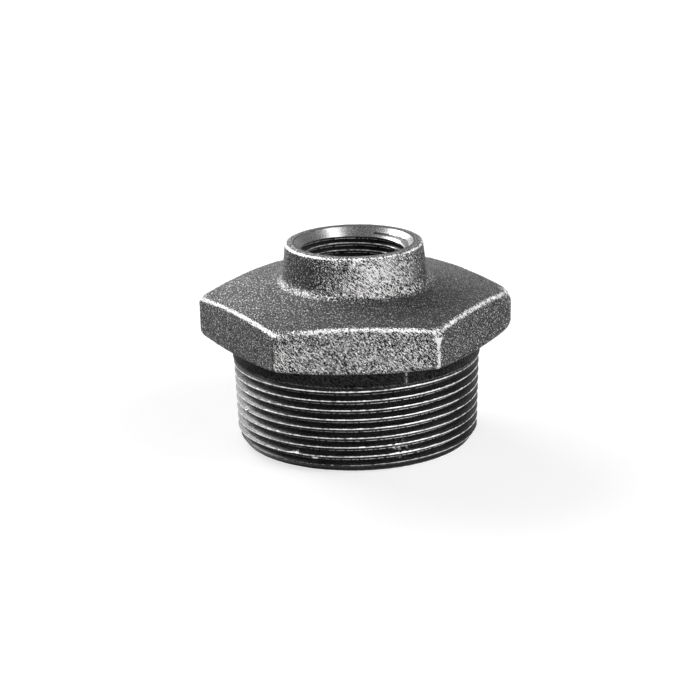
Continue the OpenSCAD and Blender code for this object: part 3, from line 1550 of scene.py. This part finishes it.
@dataclass(frozen=True)
class SoftBox:
    """Rectangular lamp that faces the object."""

    name: str
    azimuth: float
    elevation: float
    distance: float
    width: float
    height: float
    radiance: float
    mirrored_only: bool = False

    def place(self, target: Vector) -> None:
        """Adds the lamp.

        Args:
            target: Point that it faces.
        """
        back = direction(self.azimuth, self.elevation)
        data = bpy.data.lights.new(self.name, "AREA")
        data.shape = "RECTANGLE"
        data.size, data.size_y = self.width, self.height
        data.energy = self.radiance * math.pi * self.width * self.height
        lamp = bpy.data.objects.new(self.name, data)
        lamp.location = target + back * self.distance
        lamp.rotation_mode = "QUATERNION"
        lamp.rotation_quaternion = back.to_track_quat("Z", "Y")
        lamp.visible_diffuse = not self.mirrored_only
        bpy.context.scene.collection.objects.link(lamp)


@dataclass(frozen=True)
class PhotoCamera:
    """Camera at the photograph's angle."""

    azimuth: float = 0.023
    elevation: float = 17.532
    roll: float = -1.313
    distance: float = 540.27 * MM
    target: tuple[float, float, float] = (-1.52 * MM, 0.0, 21.24 * MM)
    focal_px: float = 2211.7
    image_px: int = 700
    sensor: float = 36.0
    clip_start: float = 0.01

    def place(self) -> None:
        """Adds the camera and makes it the scene's own."""
        back = direction(self.azimuth, self.elevation)
        right = Vector((0, 0, 1)).cross(back).normalized()
        above = back.cross(right)
        turn = Matrix.Rotation(math.radians(self.roll), 3, back)
        data = bpy.data.cameras.new("camera")
        data.sensor_width = self.sensor
        data.lens = self.focal_px / self.image_px * self.sensor
        data.clip_start = self.clip_start
        made = bpy.data.objects.new("camera", data)
        bpy.context.scene.collection.objects.link(made)
        axes = Matrix((turn @ right, turn @ above, back)).transposed()
        stand = Vector(self.target) + back * self.distance
        made.matrix_world = Matrix.Translation(stand) @ axes.to_4x4()
        bpy.context.scene.camera = made


@dataclass
class Studio:
    """Pale floor and soft lamps. The cards are seen in the metal and light nothing."""

    centre: tuple[float, float, float] = (0.0, 0.0, 24.0 * MM)
    # Name, azimuth, elevation, distance, width, height and radiance
    lamps: tuple[SoftBox, ...] = (
        SoftBox("right_box", 66, 40, 0.60, 0.26, 0.34, 5.0),
        SoftBox("low_right_box", 40, 10, 0.60, 0.24, 0.16, 10.0),
        SoftBox("back_left_box", -138, 34, 0.60, 0.44, 0.30, 6.5),
        SoftBox("front_fill", -5, 16, 0.90, 0.4, 0.3, 4.0),
        SoftBox("right_card", 72, 62, 0.60, 0.14, 0.20, 38.0, mirrored_only=True),
        SoftBox("left_card", -116, 38, 0.60, 0.40, 0.24, 34.0, mirrored_only=True),
    )
    ambient: float = 0.12
    floor_r: float = 4.0
    floor_sides: int = 96
    floor_grey: float = 0.55
    floor_roughness: float = 0.9
    # Glow of the floor near the bush, and where it has risen to white farther off
    floor_glow: float = 0.62
    glow_span: Span = (0.12, 0.6)
    # Inside the hollow the floor's glow is turned down, a painted shadow where no light of the room
    # comes
    hollow_span: Span = (23 * MM, 24 * MM)
    hollow_glow: float = 0.08

    def light(self) -> None:
        """Adds the lamps and the world."""
        for lamp in self.lamps:
            lamp.place(Vector(self.centre))
        world = bpy.data.worlds.new("studio")
        bpy.context.scene.world = world
        world.use_nodes = True
        tree = world.node_tree
        background = tree.nodes["Background"]
        background.inputs["Color"].default_value = WHITE
        tree.links.new(self._seen(tree, self.ambient, 1.0), background.inputs["Strength"])

    @staticmethod
    def _seen(tree: bpy.types.NodeTree, hidden: float, shown: float) -> Socket:
        """Gives one strength to rays that see the background and another to the rest.

        Args:
            tree: Node tree that it is added to.
            hidden: Strength for rays that only carry light.
            shown: Strength for camera, mirror and glass rays.

        Returns:
            The strength.
        """
        path = tree.nodes.new("ShaderNodeLightPath")
        seen = path.outputs["Is Camera Ray"]
        for name in ("Is Glossy Ray", "Is Transmission Ray"):
            either = tree.nodes.new("ShaderNodeMath")
            either.operation = "MAXIMUM"
            tree.links.new(seen, either.inputs[0])
            tree.links.new(path.outputs[name], either.inputs[1])
            seen = either.outputs[0]
        mix = tree.nodes.new("ShaderNodeMapRange")
        mix.inputs["To Min"].default_value = hidden
        mix.inputs["To Max"].default_value = shown
        tree.links.new(seen, mix.inputs["Value"])
        return mix.outputs["Result"]

    def _floor_material(self) -> bpy.types.Material:
        """Builds the floor's material, which keeps the bush's shadow.

        Returns:
            The material.
        """
        made = Nodes("pale_floor")
        made.shade("Base Color", (self.floor_grey,) * 3 + (1.0,))
        made.shade("Roughness", self.floor_roughness)
        made.shade("Specular IOR Level", 0.0)
        made.shade("Emission Color", WHITE)
        distance = made.add("ShaderNodeVectorMath", operation="LENGTH")
        made.feed(distance.inputs[0], made.place())
        far = distance.outputs["Value"]
        glow = made.ramp(far, *self.glow_span, self.floor_glow, 1.0)
        glow = made.times(glow, made.ramp(far, *self.hollow_span, self.hollow_glow, 1.0))
        made.shade("Emission Strength", made.times(self._seen(made.tree, 0.0, 1.0), glow))
        return made.material

    def floor(self) -> bpy.types.Object:
        """Adds the floor, a wide disc.

        Returns:
            The floor.
        """
        mesh = bpy.data.meshes.new("floor")
        ring = [(*(self.floor_r * unit(angle)), 0.0) for angle in even_angles(self.floor_sides)]
        mesh.from_pydata(ring, [], [list(range(self.floor_sides))])
        made = bpy.data.objects.new("floor", mesh)
        bpy.context.scene.collection.objects.link(made)
        mesh.materials.append(self._floor_material())
        return made


def main() -> None:
    """Builds the casting, the studio and the camera."""
    logging.basicConfig(level=logging.INFO, format="%(name)s: %(message)s")
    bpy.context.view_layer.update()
    low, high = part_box(NODE)
    bore = next(mount for mount in frame["record"]["mounts"] if mount["name"] == "socket_thread")
    male = MaleThread()
    neck = Neck(male.length, male.crest_r(male.length) + NECK_STEP)
    hexagon = Hexagon(high.y - low.y, neck)
    socket = PipeSocket(
        rim_z=high.z,
        minor_r=bore["dims"]["r_mm"] * MM,
        bottom_z=bore["pos_m"][2] - bore["dims"]["length_mm"] * MM,
    )
    boss = Boss(high.z, hexagon, socket.mouth_d / 2)
    hollow = Hollow(socket.minor_r, socket.bottom_z, male.core_r)
    casting = Casting(male, neck, hexagon, boss, socket, hollow).build()
    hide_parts(NODE)
    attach(casting, BODY)
    triangles = sum(len(face.vertices) - 2 for face in casting.data.polygons)
    LOG.info("%s: %d triangles", casting.name, triangles)
    studio = Studio()
    studio.light()
    floor = studio.floor()
    LOG.info("%s: %d faces", floor.name, len(floor.data.polygons))
    PhotoCamera().place()
    bpy.context.scene.view_settings.view_transform = "Standard"


if __name__ == "__main__":
    main()
